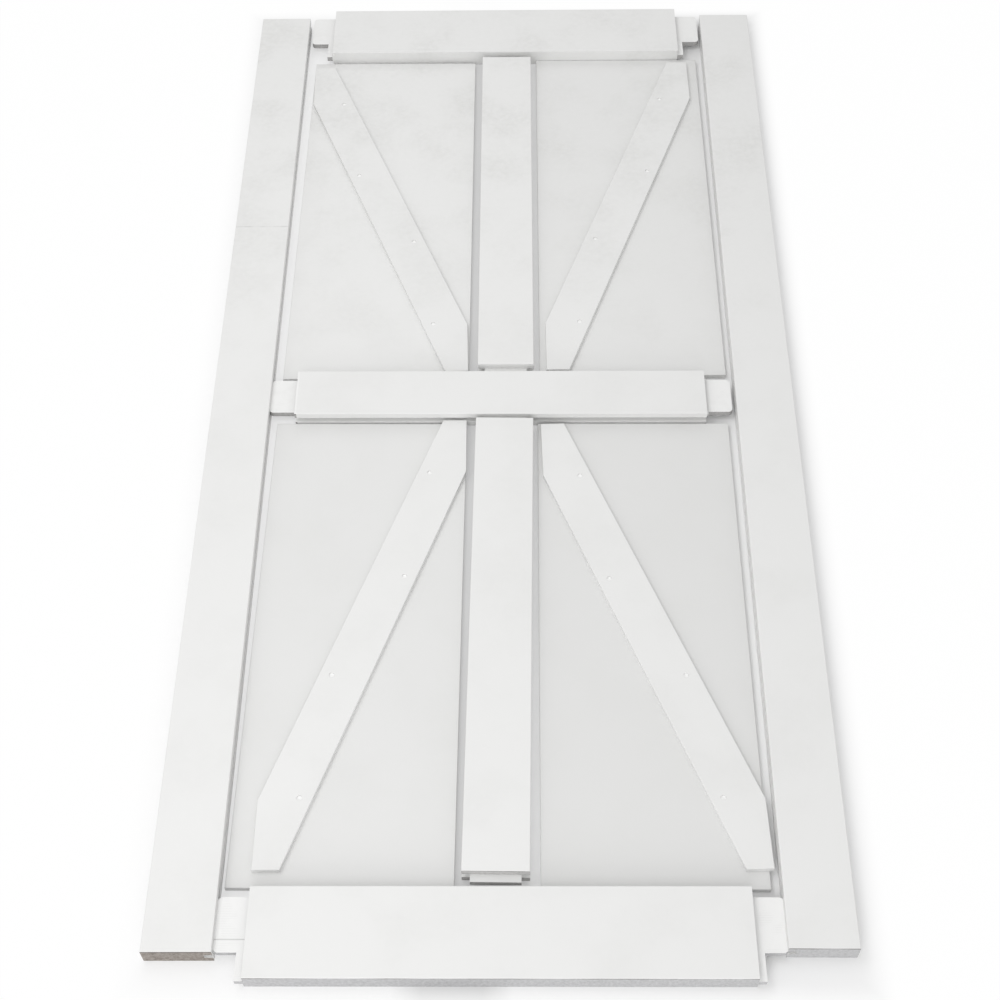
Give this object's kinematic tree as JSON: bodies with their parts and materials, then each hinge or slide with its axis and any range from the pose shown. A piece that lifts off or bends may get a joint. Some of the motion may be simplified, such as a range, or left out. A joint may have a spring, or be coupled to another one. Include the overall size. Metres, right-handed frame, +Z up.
{
  "type": "sliding barn door kit",
  "caption": "Barn door leaf with diagonal braces as a loose kit: grooved stiles, tenoned rails, mullions, panels and braces laid flat in the order they go together.",
  "frame": {"origin": "middle of the layout on the floor, under the mid rail", "axes": "+Z up out of the door's face, +Y from its bottom end to its top end, +X across it from the left stile to the right one"},
  "size_m": [1.07, 2.2022, 0.035],
  "materials": {
    "frame": "satin white foil on fibreboard",
    "panel": "satin white foil on fibreboard",
    "brace": "satin white foil on fibreboard",
    "plug": "semi-gloss white plastic"
  },
  "bodies": {
    "root": {"bottom_rail": "frame", "brace_lower_left": "brace", "brace_lower_right": "brace", "brace_upper_left": "brace", "brace_upper_right": "brace", "mid_rail": "frame", "mullion_lower": "frame", "mullion_upper": "frame", "panel_lower_left": "panel", "panel_lower_right": "panel", "panel_upper_left": "panel", "panel_upper_right": "panel", "plugs_lower_left": "plug", "plugs_lower_right": "plug", "plugs_upper_left": "plug", "plugs_upper_right": "plug", "stile_left": "frame", "stile_right": "frame", "top_rail": "frame"}
  },
  "joints": []
}
